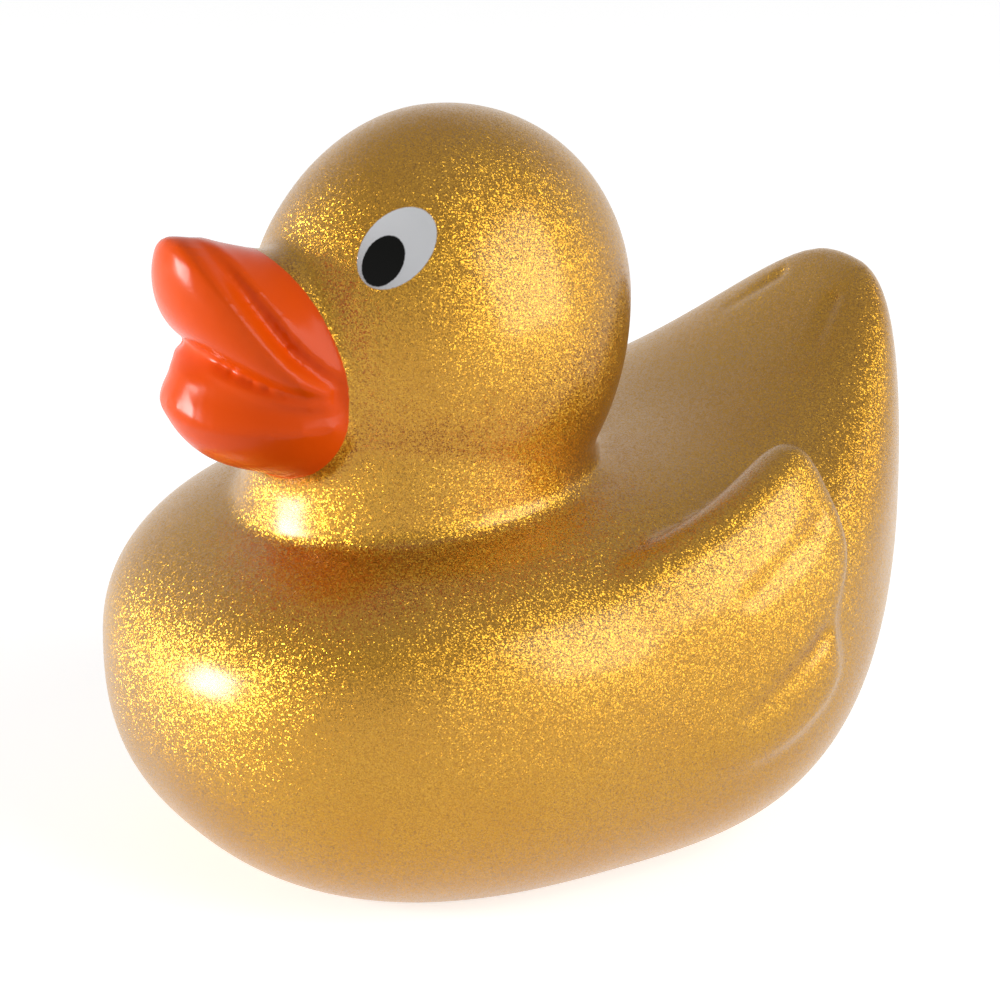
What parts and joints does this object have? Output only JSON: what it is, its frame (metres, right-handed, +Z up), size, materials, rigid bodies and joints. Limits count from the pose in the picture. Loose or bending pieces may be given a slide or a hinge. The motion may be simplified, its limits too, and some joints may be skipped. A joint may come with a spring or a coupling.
{
  "type": "rubber duck",
  "caption": "Hollow floating bath duck with a raised tail, folded wings, an open bill and a whistle plug in its flat base, painted gold flake with an orange bill.",
  "frame": {"origin": "under the middle of the duck's length and width, on the surface it stands on", "axes": "+Z up, -Y the way the duck looks, +X its left side"},
  "size_m": [0.066, 0.0844, 0.0755],
  "materials": {
    "gold_flake_paint": "fine gold flake paint with a satin clear coat; glossy orange paint on the bill and printed white and black eyes",
    "white_plastic": "moulded, plain",
    "spring_brass": "thin rolled sheet"
  },
  "bodies": {
    "root": {"duck_body": "gold_flake_paint", "whistle_housing": "white_plastic", "whistle_reed": "spring_brass"}
  },
  "joints": []
}
